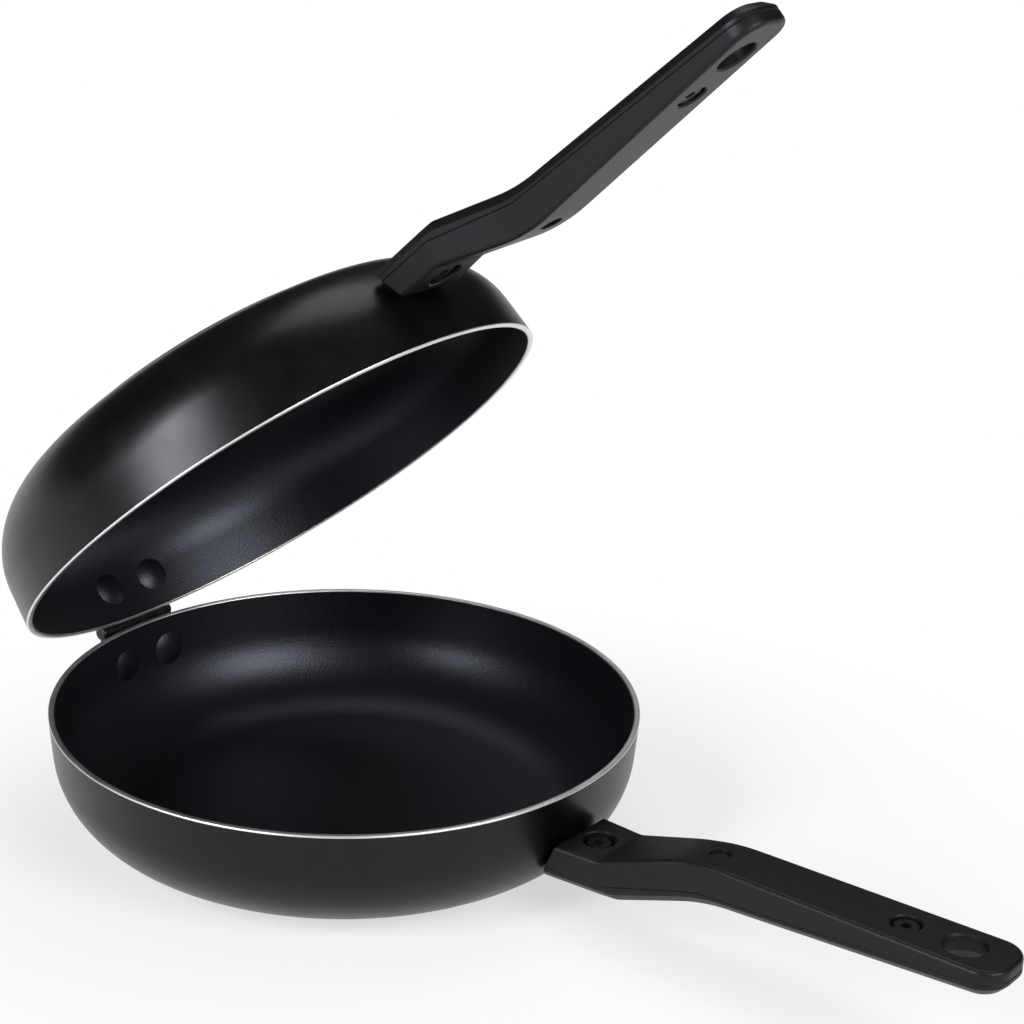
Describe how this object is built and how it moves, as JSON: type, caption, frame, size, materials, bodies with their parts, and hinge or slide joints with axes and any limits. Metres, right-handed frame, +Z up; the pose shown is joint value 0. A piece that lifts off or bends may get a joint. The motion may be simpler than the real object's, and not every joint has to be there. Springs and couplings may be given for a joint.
{
  "type": "double sided flip pan",
  "caption": "Two shallow round frying pans hinged rim to rim, each with a cranked moulded handle, opened to turn food over between them.",
  "frame": {"origin": "centre of the lower pan's foot, on the surface that it stands on", "axes": "+X from the hinge to the handle's tip, +Z up out of the lower pan, +Y along the hinge pin"},
  "size_m": [0.4405, 0.24, 0.3546],
  "materials": {
    "coated_aluminium": "pressed aluminium, black nonstick inside, satin black outside, bare turned rim",
    "foot_steel": "dark steel disc with turned rings",
    "hinge_steel": "satin stainless steel",
    "fastener_steel": "plain steel",
    "handle_plastic": "black moulded phenolic, fine matt"
  },
  "bodies": {
    "lower_half": {"lower_pan": "coated_aluminium", "lower_foot": "foot_steel", "lower_tang": "hinge_steel", "lower_handle_inner": "handle_plastic", "lower_handle_outer": "handle_plastic", "lower_handle_screws": "fastener_steel", "lower_handle_washers": "fastener_steel", "lower_handle_nuts": "fastener_steel", "lower_hinge_leaf": "hinge_steel", "lower_hinge_rivets": "coated_aluminium", "hinge_pin": "fastener_steel", "hinge_clip": "fastener_steel"},
    "upper_half": {"upper_pan": "coated_aluminium", "upper_foot": "foot_steel", "upper_tang": "hinge_steel", "upper_handle_inner": "handle_plastic", "upper_handle_outer": "handle_plastic", "upper_handle_screws": "fastener_steel", "upper_handle_washers": "fastener_steel", "upper_handle_nuts": "fastener_steel", "upper_hinge_leaf": "hinge_steel", "upper_hinge_rivets": "coated_aluminium"}
  },
  "joints": [
    {"name": "pan_hinge", "type": "hinge", "parent": "lower_half", "child": "upper_half", "pos_m": [-0.1242, 0, 0.05125], "axis": [0, -1, 0], "range_deg": [-43.4, 136.6]}
  ]
}
